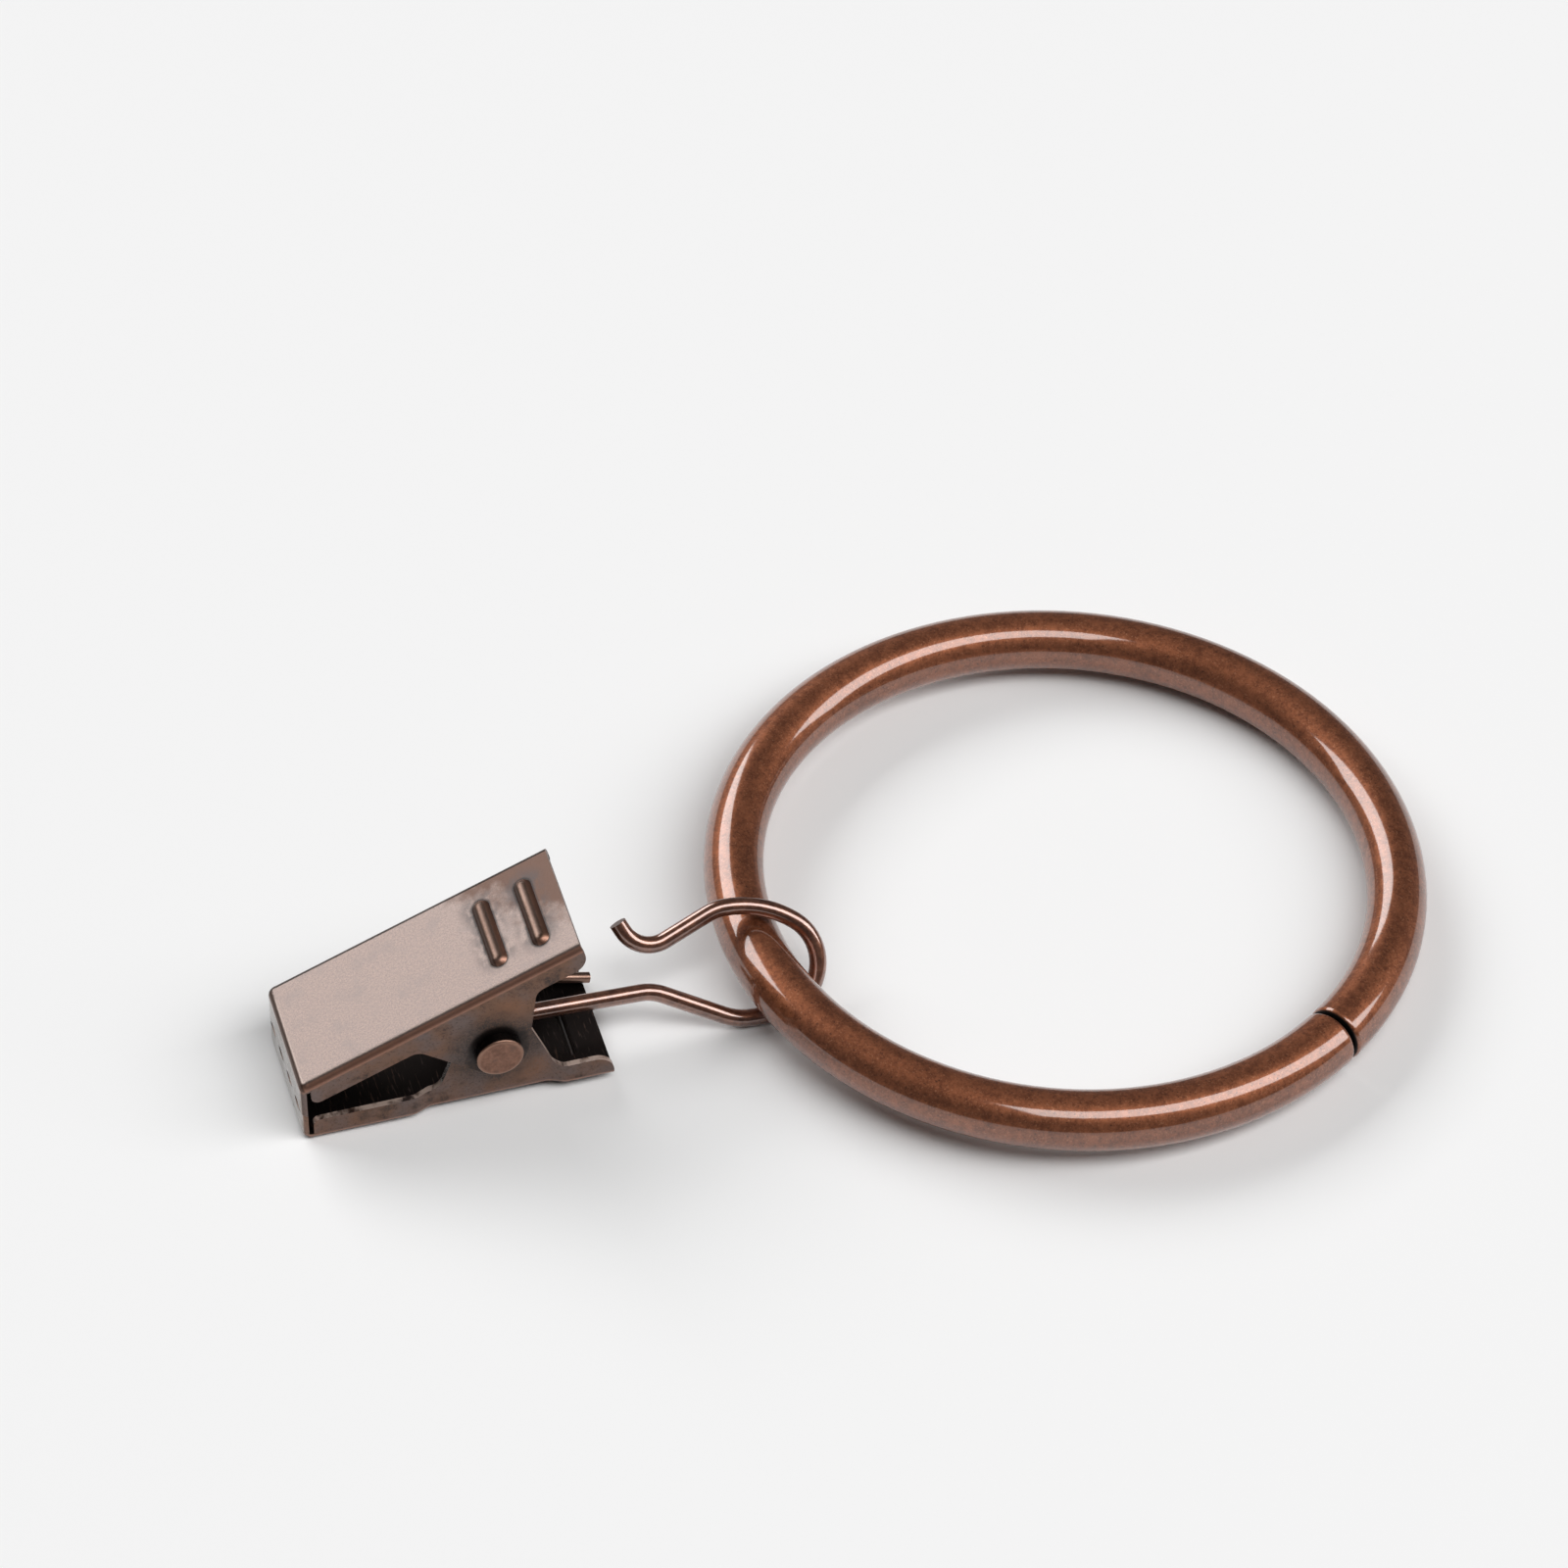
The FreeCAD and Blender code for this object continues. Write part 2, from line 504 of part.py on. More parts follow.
# the eye starts under the rivet and closes round the front and over the top
eye_path = new_sketch(hook, "XZ_Plane", "EyePath")
ring_arc = Part.Circle(FreeCAD.Vector(), FreeCAD.Vector(0, 0, 1), eye_radius)
eye_path.addGeometry(Part.ArcOfCircle(ring_arc, 0, 1.5 * pi))
eye_path.addConstraint(Sketcher.Constraint("Coincident", 0, 3, -1, 1))
eye_path.addConstraint(Sketcher.Constraint("PointOnObject", 0, 1, -1))
eye_path.addConstraint(Sketcher.Constraint("PointOnObject", 0, 2, -2))
add_bound(eye_path, "Radius", (0,), eye_radius, EYE_RADIUS)
doc.recompute()
eye = hook.newObject("PartDesign::AdditivePipe", "Eye")
eye.Profile = section
eye.Spine = (eye_path, ["Edge1"])
doc.recompute()

# the S leans back about the line of its shank
bar_path = new_sketch(hook, "XZ_Plane", "SPath")
leaning = FreeCAD.Rotation(FreeCAD.Vector(-1, 0, 0), 10)
bar_path.AttachmentOffset = FreeCAD.Placement(FreeCAD.Vector(), leaning)
bind(bar_path, "AttachmentOffset.Base.y", "- " + EYE_RADIUS)
bind(bar_path, "AttachmentOffset.Rotation.Angle", "hook_lean")
loop_bend = size("bar_dia") / 2 + size("wire_dia") / 2 + size("loop_room")
bent_wire(bar_path, (0, 0), 0, [
    ("run", "shank_run"),
    ("bend", size("drop_bend"), "drop_bend", "drop_angle", -1),
    ("run", "drop_run"),
    ("bend", size("foot_bend"), "foot_bend", "drop_angle", 1),
    ("run", "foot_run"),
    ("bend", loop_bend, "bar_dia / 2 + wire_dia / 2 + loop_room", "loop_angle", 1),
    ("bend", size("crown_bend"), "crown_bend", "crown_angle", 1),
    ("bend", size("brow_bend"), "brow_bend", "brow_angle", 1),
    ("run", "brow_run"),
    ("bend", size("trough_bend"), "trough_bend", "trough_angle", -1),
    ("run", "tip_run"),
])
bar_path.addConstraint(Sketcher.Constraint("Coincident", 0, 1, -1, 1))
bar_path.addConstraint(Sketcher.Constraint("Horizontal", 0))
doc.recompute()
bends = hook.newObject("PartDesign::AdditivePipe", "SBends")
bends.Profile = section
bends.Spine = (bar_path, ["Edge%d" % (i + 1) for i in range(bar_path.GeometryCount)])
doc.recompute()
place(hook, RIVET_X, EYE_Y + " - ring_aside", RIVET_Z, "- " + HOOK_DIP)


# THE RING
# The bar's section is swept round the ring's axis and stops short of a full turn at the seam.
ring = make_body("ring")
bar_section = new_sketch(ring, "XZ_Plane", "BarSection")
circle(bar_section, RING_RADIUS, "0", "bar_dia")
sweep = ring.newObject("PartDesign::Revolution", "BarRound")
sweep.Profile = bar_section
sweep.ReferenceAxis = (bar_section, ["V_Axis"])
bind(sweep, "Angle", "360 deg - seam_gap / ( %s ) * 1 rad" % RING_RADIUS)
doc.recompute()
round_edges(ring, "SeamEdges", "seam_round",
            lambda edge, mid: edge.Curve.TypeId == "Part::GeomCircle"
            and near(edge.Curve.Radius, size("bar_dia") / 2)
            and abs(edge.Curve.Axis.z) < 0.1 and edge.Length > 0.9 * pi * size("bar_dia"))
place(ring, "%s + %s" % (RIVET_X, RING_FROM_RIVET), "0", RING_Z, "- " + RING_TILT,
      "rotation ( vector ( 0 ; 0 ; 1 ) ; 180 + seam_from_hook )")

doc.recompute()

os.makedirs("parts", exist_ok=True)
bodies = [ring, hook, upper_jaw, lower_jaw, rivet, spring]
for item in doc.Objects:
    if "Invalid" in item.State or "Error" in item.State:
        raise RuntimeError("%s failed: %s" % (item.Name, item.State))
for body in bodies:
    if body.Shape.isNull() or not body.Shape.isValid() or len(body.Shape.Solids) != 1:
        raise RuntimeError("%s is not one sound solid" % body.Label)
for body in bodies:
    body.Shape.exportStep("parts/%s.step" % body.Label)
    box = body.Shape.BoundBox
    print("%-15s volume %8.2f  x %.2f..%.2f  y %.2f..%.2f  z %.2f..%.2f" % (
        body.Label, body.Shape.Volume, box.XMin, box.XMax, box.YMin, box.YMax, box.ZMin, box.ZMax))
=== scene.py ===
# A curtain ring with its wire hook and spring clip, copper plated, lying on a white table.
import bpy
import math
from mathutils import Matrix, Vector


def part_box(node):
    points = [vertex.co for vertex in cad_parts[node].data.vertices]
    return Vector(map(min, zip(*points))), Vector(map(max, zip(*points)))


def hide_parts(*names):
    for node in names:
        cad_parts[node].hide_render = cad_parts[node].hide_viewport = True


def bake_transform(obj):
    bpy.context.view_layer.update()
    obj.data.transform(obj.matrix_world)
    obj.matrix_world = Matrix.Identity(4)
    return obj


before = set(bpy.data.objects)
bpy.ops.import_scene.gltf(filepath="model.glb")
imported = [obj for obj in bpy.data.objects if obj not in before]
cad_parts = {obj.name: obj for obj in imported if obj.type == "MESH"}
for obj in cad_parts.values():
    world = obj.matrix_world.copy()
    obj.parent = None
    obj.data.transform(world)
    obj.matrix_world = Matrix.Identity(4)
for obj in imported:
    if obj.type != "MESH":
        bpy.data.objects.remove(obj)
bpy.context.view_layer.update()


# THE LOWER JAW
# A strip of thin steel, folded to a shallow tray with a toothed lip, copper plated and tumbled.
# The inside of the tray and the front and far folds are darkened with painted shade, and the flats are rubbed
# pale.
class Paint:
    """A socket of a material. Sums, differences and products of sockets add Math nodes."""

    def __init__(self, tree, socket=None):
        self.tree = tree
        self.socket = socket

    def node(self, kind, settings, sockets, out=0):
        """Add a node: its settings first, then the values or links of its sockets."""
        made = self.tree.nodes.new(kind)
        for name, value in settings.items():
            setattr(made, name, value)
        for name, value in sockets.items():
            if isinstance(value, Paint):
                self.tree.links.new(value.socket, made.inputs[name])
            else:
                made.inputs[name].default_value = value
        return Paint(self.tree, made.outputs[out] if made.outputs else None)

    def math(self, operation, *values):
        return self.node("ShaderNodeMath", {"operation": operation}, dict(enumerate(values)))

    def __add__(self, other):
        return self.math("ADD", self, other)

    def __radd__(self, other):
        return self.math("ADD", other, self)

    def __sub__(self, other):
        return self.math("SUBTRACT", self, other)

    def __rsub__(self, other):
        return self.math("SUBTRACT", other, self)

    def __mul__(self, other):
        return self.math("MULTIPLY", self, other)

    def __rmul__(self, other):
        return self.math("MULTIPLY", other, self)

    def part(self, axis):
        """One axis of a vector."""
        return self.node("ShaderNodeSeparateXYZ", {}, {"Vector": self}, axis)

    def soft(self, low, high):
        """A mask that goes smoothly from 0 at low to 1 at high. Low may be the larger of the two."""
        return self.node("ShaderNodeMapRange", {"interpolation_type": "SMOOTHSTEP"},
                         {"Value": self, "From Min": low, "From Max": high})

    def mixed(self, one, other):
        """Colour one where this mask is 0, the other where it is 1."""
        return self.node("ShaderNodeMix", {"data_type": "RGBA"}, {0: self, 6: one, 7: other}, 2)


def colour(red, green, blue):
    return (red, green, blue, 1.0)


def new_paint(name, centre=(0.0, 0.0, 0.0), turn=(0.0, 0.0, 0.0)):
    """A material with its tree, and the place on the piece in millimetres in a turned frame of its own."""
    material = bpy.data.materials.new(name)
    material.use_nodes = True
    material.node_tree.nodes.clear()
    paint = Paint(material.node_tree)
    where = paint.node("ShaderNodeTexCoord", {}, {}, "Object")
    place = paint.node("ShaderNodeMapping", {"vector_type": "TEXTURE"},
                       {"Vector": where, "Location": centre, "Rotation": turn, "Scale": (0.001, 0.001, 0.001)})
    return material, paint, place


def grain(paint, place, per_mm, detail=3.0, rough=0.55, stretch=None):
    """Noise of about per_mm bumps to the millimetre, from 0 to 1."""
    if stretch:
        place = paint.node("ShaderNodeMapping", {}, {"Vector": place, "Scale": stretch})
    return paint.node("ShaderNodeTexNoise", {},
                      {"Vector": place, "Scale": per_mm, "Detail": detail, "Roughness": rough}, "Fac")


def distance(paint, one, other):
    """How far off a place is that lies this far one way and that far at right angles to it."""
    return paint.math("SQRT", one * one + other * other)


def finish(paint, base, roughness, height, depth, metallic=1.0, coat=0.0, coat_rough=0.1, coat_bend=1.5):
    """Join the colour, roughness and relief in one shader, under a clear coat where there is one."""
    relief = paint.node("ShaderNodeBump", {}, {"Height": height, "Strength": 1.0, "Distance": depth})
    shader = paint.node("ShaderNodeBsdfPrincipled", {}, {
        "Base Color": base, "Roughness": roughness, "Metallic": metallic, "Normal": relief,
        "Coat Weight": coat, "Coat Roughness": coat_rough, "Coat IOR": coat_bend})
    paint.node("ShaderNodeOutputMaterial", {}, {"Surface": shader})


def dress(node, material):
    """Give a node of the frame its finish."""
    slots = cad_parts[node].data.materials
    slots.clear()
    slots.append(material)


# the plate's colours, those of its ribs, those of the walls and folds, and those of the edges
PLATE_PALE = colour(0.148, 0.119, 0.109)
PLATE_WARM = colour(0.250, 0.188, 0.165)
PLATE_COOL = colour(0.136, 0.120, 0.118)
PLATE_SPECK = colour(0.085, 0.063, 0.055)
PLATE_REAR = colour(0.066, 0.031, 0.019)
PLATE_SMEAR = colour(0.046, 0.041, 0.042)
RIB_BROWN = colour(0.150, 0.088, 0.065)
RIB_WORN = colour(0.260, 0.175, 0.138)
RIB_SHADE = colour(0.040, 0.022, 0.016)
WALL_GREY = colour(0.160, 0.116, 0.105)
WALL_COPPER = colour(0.195, 0.106, 0.070)
WALL_SPECK = colour(0.060, 0.044, 0.038)
WALL_GLINT = colour(0.240, 0.150, 0.108)
WALL_STAIN = colour(0.040, 0.033, 0.032)
WALL_RUBBED = colour(0.250, 0.122, 0.070)
RIVET_STAIN = colour(0.052, 0.045, 0.043)
FOLD_BROWN = colour(0.345, 0.178, 0.125)
# painted shade for the front fold
FRONT_FOLD_SHADE = colour(0.060, 0.034, 0.025)
# painted highlight for the near rims of the plate
PAINTED_RIM_HIGHLIGHT = colour(0.42, 0.34, 0.30)
# bare sheared metal with a painted highlight
SHEARED_EDGE_AND_HIGHLIGHT = colour(0.51, 0.385, 0.325)
LIP_BRIGHT = colour(0.52, 0.50, 0.48)
LIP_DULL = colour(0.30, 0.27, 0.25)
# a near black, used for real patina and for painted shade
PATINA_AND_PAINTED_SHADE = colour(0.016, 0.012, 0.011)

# sizes in millimetres: the folds' height, the ribs' half width and half length, where the smears end,
# how far the rubbed patch of the ear lies from the rivet and how far the black crescent is lifted off it
FOLD = 0.55
RIB_HALF, RIB_REACH = 0.5, 2.2
SMEAR_NONE, SMEAR_FULL = -4.2, -1.4
RIM_FULL, RIM_NONE = 3.0, 3.4
FAR_FOLD, FAR_EDGE = 3.7, 4.0
RUBBED_ALONG, RUBBED_ABOVE = 2.0, 2.6
CRESCENT_LIFT = 0.4

# the rivet's centre and the depth of the plating's grain, in metres
RIVET = (-0.0246492, -0.003, 0.0048916)
JAW_GRAIN = 0.000012


def jaw_finish(name, lift, side, plate, ribs, rear):
    """Plated strip. lift is the plate's slope in degrees, side +1 for a plate on top, plate its distance
    from the rivet, ribs where its ribs lie along it and rear where it ends, in millimetres."""
    material, paint, place = new_paint(name, RIVET, (0.0, -math.radians(lift), 0.0))
    along, across, high = place.part(0), place.part(1), place.part(2)
    outward = paint.node("ShaderNodeTexCoord", {}, {}, "Normal")
    facing = paint.node("ShaderNodeVectorRotate", {"rotation_type": "Y_AXIS"},
                        {"Vector": outward, "Angle": math.radians(lift)})
    up = facing.part(2) * side
    forward = 0.0 - facing.part(0)
    sideways = facing.part(1) * paint.math("SIGN", across)
    above = high * side
    fold_start = plate - FOLD

    speckle = grain(paint, place, 5.5, 4.0, 0.75)
    fine = grain(paint, place, 10.0, 3.0, 0.7)
    mottle = grain(paint, place, 0.6, 4.0, 0.6)
    cloud = grain(paint, place, 0.28, 2.0)
    smudge = grain(paint, place, 1.3, 3.0, 0.6, (1.0, 0.6, 1.0))
    scratch = grain(paint, place, 1.2, 3.0, 0.6, (5.0, 0.6, 2.0))

    # the plate: pale where it is rubbed, browner and darker towards the rear end and the far edge
    pale = (speckle * 0.4 + fine * 0.6).soft(0.36, 0.64).mixed(PLATE_PALE, PLATE_WARM)
    pale = (mottle.soft(0.5, 0.7) * fine.soft(0.4, 0.6) * 0.5).mixed(pale, PLATE_COOL)
    pale = (speckle.soft(0.66, 0.74) * 0.5).mixed(pale, PLATE_SPECK)
    rearward = ((along - rear) * 0.3 + across * 0.3 + mottle * 2.4).soft(0.1, 1.2)
    pale = (rearward * 0.9).mixed(pale, PLATE_REAR)

    # its ribs: grey smears about them, black at their feet, worn on the crest, painted shade on the rear flank
    around, shaded = None, None
    for rib in ribs:
        beyond = paint.math("MAXIMUM", paint.math("ABSOLUTE", across) - RIB_REACH, 0.0)
        beside = along - rib
        reach = distance(paint, beyond, beside) - RIB_HALF
        rear_side = beside.soft(-0.1, 0.15) * beside.soft(0.75, 0.65)
        around = reach if around is None else paint.math("MINIMUM", around, reach)
        shaded = rear_side if shaded is None else paint.math("MAXIMUM", shaded, rear_side)
    smear = 1.0 - (around + mottle * 1.1).soft(0.5, 1.8)
    smear = smear * smudge.soft(0.38, 0.58) * across.soft(SMEAR_NONE, SMEAR_FULL)
    pale = (smear * (0.45 + fine.soft(0.35, 0.62) * 0.5)).mixed(pale, PLATE_SMEAR)
    foot = around.soft(-0.14, 0.0) * (1.0 - around.soft(0.06, 0.28))
    pale = (foot * (smudge * 0.9 + 0.5)).mixed(pale, PATINA_AND_PAINTED_SHADE)
    crest = (speckle * 0.5 + mottle * 0.6).soft(0.4, 0.75).mixed(RIB_BROWN, RIB_WORN)
    # painted shade on the rear flank of each rib
    crest = (shaded * 0.8).mixed(crest, RIB_SHADE)
    pale = (1.0 - around.soft(-0.2, -0.08)).mixed(pale, crest)

    # the walls: grey and coppery patches, dark stains, and a rubbed patch on the ear
    brown = (cloud * 0.7 + mottle * 0.5).soft(0.45, 0.72).mixed(WALL_GREY, WALL_COPPER)
    brown = (speckle.soft(0.5, 0.68) * 0.65).mixed(brown, WALL_SPECK)
    brown = (fine.soft(0.56, 0.7) * 0.4).mixed(brown, WALL_GLINT)
    stain = mottle.soft(0.48, 0.68) * smudge.soft(0.36, 0.62) * (0.45 + fine.soft(0.35, 0.62) * 0.5)
    brown = stain.mixed(brown, WALL_STAIN)
    rubbed = 1.0 - (distance(paint, along - RUBBED_ALONG, above - RUBBED_ABOVE) + mottle).soft(0.8, 2.4)
    brown = (rubbed * (0.3 + fine.soft(0.35, 0.6) * 0.6)).mixed(brown, WALL_RUBBED)

    # round the rivet: a wide grey stain, a black ring in it that is part stain and part painted contact shadow,
    # and a black crescent of painted shadow above the head
    from_rivet = distance(paint, along, high)
    wide_stain = (1.0 - (from_rivet - mottle * 2.2).soft(1.2, 3.0)) * (0.35 + fine.soft(0.35, 0.65) * 0.5)
    brown = wide_stain.mixed(brown, RIVET_STAIN)
    # part stain, part painted contact shadow: the black ring round the rivet
    ring_stain_and_shadow = (1.0 - (from_rivet - mottle * 1.2).soft(1.0, 1.75)) * (smudge * 0.8 + 0.35)
    brown = ring_stain_and_shadow.mixed(brown, PATINA_AND_PAINTED_SHADE)
    # painted shadow: the black crescent above the rivet head
    from_lifted = distance(paint, along, high - side * CRESCENT_LIFT)
    crescent = 1.0 - (from_lifted - mottle * 0.3).soft(1.35, 1.7)
    brown = (crescent * 0.9).mixed(brown, PATINA_AND_PAINTED_SHADE)

    # the folds stay brown, the near rims of the plate get a thin painted highlight and the far fold is painted
    # black as painted shade
    bent = up.soft(0.1, 0.3) * (1.0 - up.soft(0.8, 0.95)) * above.soft(fold_start - 0.1, fold_start + 0.05)
    brown = (bent * (0.95 - smudge * 0.3)).mixed(brown, FOLD_BROWN)
    flat = up.soft(0.86, 0.97) * above.soft(plate - 0.3, plate - 0.15)
    base = flat.mixed(brown, pale)
    # painted highlight: a thin pale line along the near rims of the plate
    rim = up.soft(0.95, 0.975) * (1.0 - up.soft(0.988, 0.999)) * (1.0 - around.soft(0.5, 0.3))
    base = (rim * across.soft(RIM_NONE, RIM_FULL) * 0.5).mixed(base, PAINTED_RIM_HIGHLIGHT)
    # painted shade: the far fold is made black
    far_fold = across.soft(FAR_FOLD, FAR_EDGE) * up.soft(0.1, 0.4) * (1.0 - up.soft(0.97, 0.995))
    base = (far_fold * 0.8).mixed(base, PATINA_AND_PAINTED_SHADE)

    # sheared edges are bright in places, bare metal with a painted highlight on it, and the inside is painted
    # nearly black as painted shade, with a few scratches
    sheared = 1.0 - paint.math("ABSOLUTE", facing.part(1)).soft(0.3, 0.6)
    sheared = sheared * (1.0 - above.soft(fold_start - 0.15, fold_start + 0.05))
    sheared = sheared * (1.0 - forward.soft(0.9, 0.97))
    # part bare metal, part painted highlight along the sheared edges
    bare_edge_and_highlight = sheared * smudge.soft(0.34, 0.56)
    base = bare_edge_and_highlight.mixed(base, SHEARED_EDGE_AND_HIGHLIGHT)
    # painted shade: the inside of the walls and of the plate is made nearly black
    inside_wall = (0.0 - sideways).soft(0.3, 0.8)
    inside_plate = (0.0 - up).soft(0.3, 0.8) * above.soft(plate - 1.4, plate - 0.7)
    inside = paint.math("MAXIMUM", inside_wall, inside_plate)
    base = (inside * (1.0 - scratch.soft(0.56, 0.72) * 0.4)).mixed(base, PATINA_AND_PAINTED_SHADE)

    # the lip is worn to bare steel, below a fold darkened with painted shade
    lip = forward.soft(0.75, 0.95)
    base = (lip * 0.9).mixed(base, smudge.soft(0.4, 0.7).mixed(LIP_BRIGHT, LIP_DULL))
    # painted shade: the front fold is made dark
    front_fold_shade = forward.soft(0.25, 0.45) * lip.soft(0.3, 0.0) * up.soft(0.15, 0.4)
    base = (front_fold_shade * 0.9).mixed(base, FRONT_FOLD_SHADE)
    rough = 0.36 + speckle * 0.14 + inside * 0.1 - lip * 0.2
    finish(paint, base, rough, speckle * 0.5 + fine * 0.5, JAW_GRAIN,
           metallic=1.0 - bare_edge_and_highlight * 0.6, coat=0.2, coat_rough=0.2)
    return material


LOWER_SLOPE, LOWER_PLATE, LOWER_RIBS, LOWER_REAR = 1.416, 4.6, (2.31, 5.18), 7.3
dress("lower_jaw", jaw_finish("lower_jaw_plating", LOWER_SLOPE, -1.0, LOWER_PLATE, LOWER_RIBS, LOWER_REAR))


# THE TORSION SPRING
# Hard steel wire wound on the rivet beside the hook's eye, plated with the rest and rubbed at its ends.
# Its first leg bears on the upper jaw and its last on the lower, so the coil winds up as the jaws part.
SPRING_GRAIN = 0.000006
SPRING_DARK = colour(0.10, 0.06, 0.045)
SPRING_BROWN = colour(0.22, 0.125, 0.09)
SPRING_RUBBED = colour(0.42, 0.26, 0.20)
RUBBED_FROM, RUBBED_TO = 5.0, 6.2

material, paint, place = new_paint("spring_plating", RIVET)
speckle = grain(paint, place, 7.0)
rubbed = (place.part(0) + speckle).soft(RUBBED_FROM, RUBBED_TO)
dull = speckle.soft(0.3, 0.7).mixed(SPRING_DARK, SPRING_BROWN)
dull = (rubbed * (0.4 + speckle * 0.4)).mixed(dull, SPRING_RUBBED)
finish(paint, dull, 0.26 + speckle * 0.12, speckle, SPRING_GRAIN, coat=0.3, coat_rough=0.12)

spring = bpy.data.objects.new("spring_coil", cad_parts["torsion_spring"].data.copy())
bpy.context.scene.collection.objects.link(spring)
spring.data.materials.clear()
spring.data.materials.append(material)
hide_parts("torsion_spring")
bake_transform(spring)


# THE HOOK
# One soft steel wire: an eye closed round the rivet, a shank, and an S bent round the ring's bar.
# Copper plated after bending, with draw lines along the wire, a few chips and a dull cut end.
HOOK_TIP = (-15.187, -0.442, 6.384)
CUT_FACING = (-0.402, 0.583, 0.707)
HOOK_GRAIN = 0.000008
HOOK_DARK = colour(0.130, 0.047, 0.027)
HOOK_COPPER = colour(0.30, 0.125, 0.074)
HOOK_LINE = colour(0.36, 0.19, 0.13)
HOOK_CHIP = colour(0.030, 0.022, 0.020)
HOOK_CUT = colour(0.085, 0.046, 0.034)

material, paint, place = new_paint("hook_plating")
speckle = grain(paint, place, 4.5, 4.0, 0.7)
mottle = grain(paint, place, 0.9, 3.0)
lines = grain(paint, place, 1.0, 4.0, 0.6, (0.4, 6.0, 6.0))
chips = grain(paint, place, 2.2, 3.0, 0.6).soft(0.68, 0.73)
copper = (mottle * 0.6 + speckle * 0.5).soft(0.38, 0.75).mixed(HOOK_DARK, HOOK_COPPER)
copper = (lines.soft(0.52, 0.7) * 0.35).mixed(copper, HOOK_LINE)
copper = (chips * 0.8).mixed(copper, HOOK_CHIP)
outward = paint.node("ShaderNodeTexCoord", {}, {}, "Normal")
endways = paint.node("ShaderNodeVectorMath", {"operation": "DOT_PRODUCT"}, {0: outward, 1: CUT_FACING}, "Value")
from_tip = paint.node("ShaderNodeVectorMath", {"operation": "DISTANCE"}, {0: place, 1: HOOK_TIP}, "Value")
cut = endways.soft(0.9, 0.98) * from_tip.soft(0.9, 0.6)
copper = (cut * 0.9).mixed(copper, HOOK_CUT)
finish(paint, copper, 0.24 + speckle * 0.12 + cut * 0.2, speckle * 0.5 + lines * 0.5 - chips, HOOK_GRAIN,
       metallic=0.8, coat=1.0 - cut * 0.9, coat_rough=0.05, coat_bend=2.0)
dress("hook", material)


# THE UPPER JAW
# The same strip turned over, its ears outside those of the lower jaw; two ribs pressed in the plate
# give the fingers a hold.
UPPER_SLOPE, UPPER_PLATE, UPPER_RIBS, UPPER_REAR = 24.016, 4.9, (2.91, 5.78), 7.9
dress("upper_jaw", jaw_finish("upper_jaw_plating", UPPER_SLOPE, 1.0, UPPER_PLATE, UPPER_RIBS, UPPER_REAR))


# THE RIVET
# Semi-tubular, set through both pairs of ears: a flat head in front, a rolled rim behind.
# The head's side and the hollow are painted black, partly dirt and partly painted shade; its face and the rim
# are rubbed to copper.
HEAD_FACE = 5.15
HEAD_WORN, HEAD_EDGE = 1.18, 1.4
HOLLOW, ROLLED_RIM = 0.72, 0.85
TAIL_END = (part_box("rivet")[1][1] - RIVET[1]) * 1000.0
RIVET_GRAIN = 0.00001
RIVET_DARK = colour(0.175, 0.088, 0.061)
RIVET_COPPER = colour(0.31, 0.16, 0.108)
RIVET_DULL = colour(0.09, 0.06, 0.052)
RIVET_EDGE = colour(0.36, 0.21, 0.15)

material, paint, place = new_paint("rivet_plating", RIVET)
speckle = grain(paint, place, 4.5, 4.0, 0.7)
mottle = grain(paint, place, 1.1, 3.0)
from_axis = distance(paint, place.part(0), place.part(2))
copper = (speckle * 0.6 + mottle * 0.6).soft(0.42, 0.8).mixed(RIVET_DARK, RIVET_COPPER)
copper = (mottle.soft(0.55, 0.7) * 0.5).mixed(copper, RIVET_DULL)
copper = (from_axis.soft(HEAD_WORN, HEAD_EDGE) * (0.4 + mottle * 0.5)).mixed(copper, RIVET_EDGE)
# black behind the head's face, partly dirt and partly painted shade; the rolled rim is spared
behind = paint.math("ABSOLUTE", place.part(1)).soft(HEAD_FACE - 0.02, HEAD_FACE - 0.16)
rolled = place.part(1).soft(TAIL_END - 0.45, TAIL_END - 0.2) * from_axis.soft(HOLLOW, ROLLED_RIM)
copper = (behind * (1.0 - mottle.soft(0.6, 0.8) * 0.4) * (1.0 - rolled * 0.9)).mixed(copper, PATINA_AND_PAINTED_SHADE)
finish(paint, copper, 0.34 + speckle * 0.14, speckle, RIVET_GRAIN, coat=0.2, coat_rough=0.2)
dress("rivet", material)


# THE RING
# A round steel bar bent to a circle, its ends butted and left open at a fine seam.
# Copper plated, browned and lacquered, so that small flecks show under a smooth clear skin.
RING_CENTRE = (0.0142063, 0.0, 0.0025)
SEAM_TURN = math.radians(-55.0)
SEAM_NONE, SEAM_FULL = 15.0, 16.0
SEAM_NEAR, SEAM_FAR = 0.5, 0.8
RING_GRAIN = 0.000008
RING_DARK = colour(0.155, 0.045, 0.017)
RING_BROWN = colour(0.335, 0.112, 0.048)
RING_FLECK = colour(0.46, 0.20, 0.105)
RING_PIT = colour(0.035, 0.014, 0.009)

material, paint, place = new_paint("ring_plating", RING_CENTRE, (0.0, 0.0, SEAM_TURN))
speckle = grain(paint, place, 5.0, 4.0, 0.75)
mottle = grain(paint, place, 0.5, 3.0)
patches = grain(paint, place, 1.9, 3.0, 0.6)
flecks = grain(paint, place, 8.0, 2.0, 0.5)
brown = (mottle * 0.25 + patches * 0.45 + speckle * 0.5).soft(0.42, 0.78).mixed(RING_DARK, RING_BROWN)
brown = (flecks.soft(0.6, 0.7) * 0.55).mixed(brown, RING_FLECK)
brown = ((1.0 - flecks.soft(0.28, 0.38)) * 0.75).mixed(brown, RING_PIT)

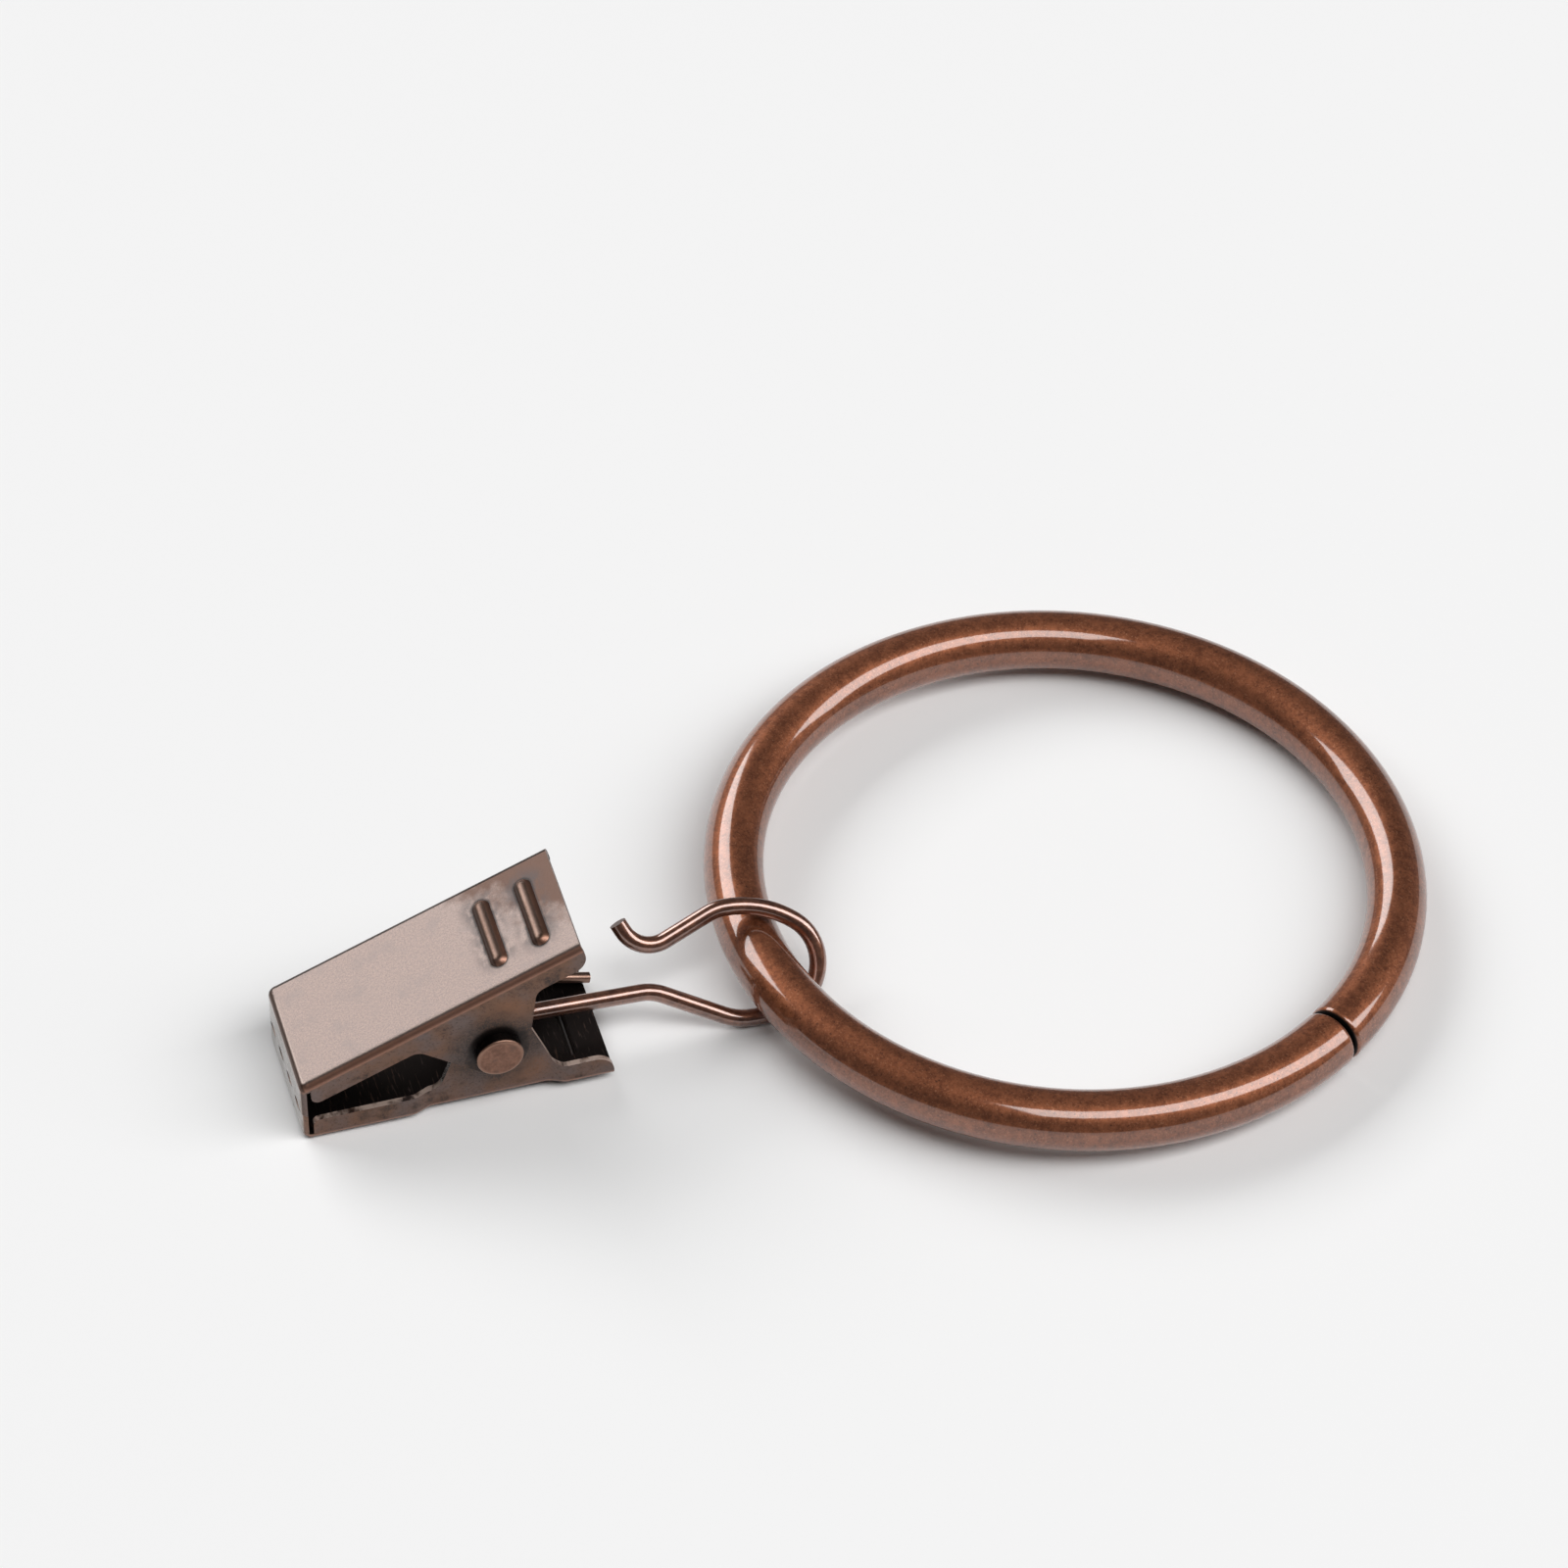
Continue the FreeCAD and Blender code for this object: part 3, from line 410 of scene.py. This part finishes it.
# the two faces of the seam are left dark, with no lacquer
outward = paint.node("ShaderNodeTexCoord", {}, {}, "Normal")
facing = paint.node("ShaderNodeVectorRotate", {"rotation_type": "Z_AXIS"},
                    {"Vector": outward, "Angle": -SEAM_TURN})
cut = paint.math("ABSOLUTE", facing.part(1)).soft(0.6, 0.85) * place.part(0).soft(SEAM_NONE, SEAM_FULL)
cut = cut * (1.0 - paint.math("ABSOLUTE", place.part(1)).soft(SEAM_NEAR, SEAM_FAR))
brown = cut.mixed(brown, PATINA_AND_PAINTED_SHADE)
finish(paint, brown, 0.42 + speckle * 0.12, speckle * 0.6 + flecks * 0.4, RING_GRAIN,
       metallic=0.8, coat=1.0 - cut, coat_rough=0.09, coat_bend=1.75)
dress("ring", material)


# THE TABLE, THE LIGHT AND THE CAMERA
# A smooth white table that fills the view, in a dim room with two soft lamps: one behind to the left,
# and a long one overhead.
TABLE_SIZE = 6.0
TABLE_WHITE = colour(0.87, 0.87, 0.87)
ROOM_WHITE, ROOM_LEVEL = colour(1.0, 1.0, 1.0), 0.06

bpy.ops.mesh.primitive_plane_add(size=TABLE_SIZE, location=(0.0, 0.0, 0.0))
table = bpy.context.object
table.name = "table"
material, paint, place = new_paint("table_white")
shader = paint.node("ShaderNodeBsdfPrincipled", {}, {
    "Base Color": TABLE_WHITE, "Roughness": 0.6, "Specular IOR Level": 0.2})
paint.node("ShaderNodeOutputMaterial", {}, {"Surface": shader})
table.data.materials.append(material)

world = bpy.data.worlds.new("room")
world.use_nodes = True
world.node_tree.nodes["Background"].inputs["Color"].default_value = ROOM_WHITE
world.node_tree.nodes["Background"].inputs["Strength"].default_value = ROOM_LEVEL
bpy.context.scene.world = world


def lamp(name, towards, level, away, wide, tall, radiance):
    """A flat soft lamp in a direction from the object, facing it, with its wide side along level."""
    direction = Vector(towards).normalized()
    upright = direction.cross(Vector(level)).normalized()
    light = bpy.data.lights.new(name, "AREA")
    light.shape = "RECTANGLE"
    light.size = wide
    light.size_y = tall
    light.energy = radiance * math.pi * wide * tall
    holder = bpy.data.objects.new(name, light)
    turn = Matrix((upright.cross(direction), upright, direction)).transposed().to_4x4()
    holder.matrix_world = Matrix.Translation(direction * away) @ turn
    bpy.context.scene.collection.objects.link(holder)


lamp("back_lamp", towards=(-0.430, 0.697, 0.574), level=(0.851, 0.525, 0.0),
     away=2.2, wide=2.05, tall=1.0, radiance=5.0)
lamp("top_lamp", towards=(0.48, -0.36, 0.80), level=(0.848, 0.16, -0.42),
     away=2.0, wide=3.3, tall=0.98, radiance=4.6)

AZIMUTH, ELEVATION, ROLL = math.radians(17.356), math.radians(46.0), math.radians(1.823)
AIM, CAMERA_AWAY = Vector((-0.00009, 0.014298, 0.0)), 0.48715
SENSOR, FOCAL, CLIP_START = 36.0, 174.4, 0.01

look = Vector((math.sin(AZIMUTH) * math.cos(ELEVATION), math.cos(AZIMUTH) * math.cos(ELEVATION),
               -math.sin(ELEVATION)))
level_right = look.cross(Vector((0.0, 0.0, 1.0))).normalized()
level_up = level_right.cross(look)
right = level_right * math.cos(ROLL) + level_up * math.sin(ROLL)
upward = right.cross(look)
lens = bpy.data.cameras.new("camera")
lens.sensor_width = SENSOR
lens.lens = FOCAL
lens.clip_start = CLIP_START
camera = bpy.data.objects.new("camera", lens)
turn = Matrix((right, upward, -look)).transposed().to_4x4()
camera.matrix_world = Matrix.Translation(AIM - look * CAMERA_AWAY) @ turn
bpy.context.scene.collection.objects.link(camera)
bpy.context.scene.camera = camera

bpy.context.scene.view_settings.view_transform = "Standard"
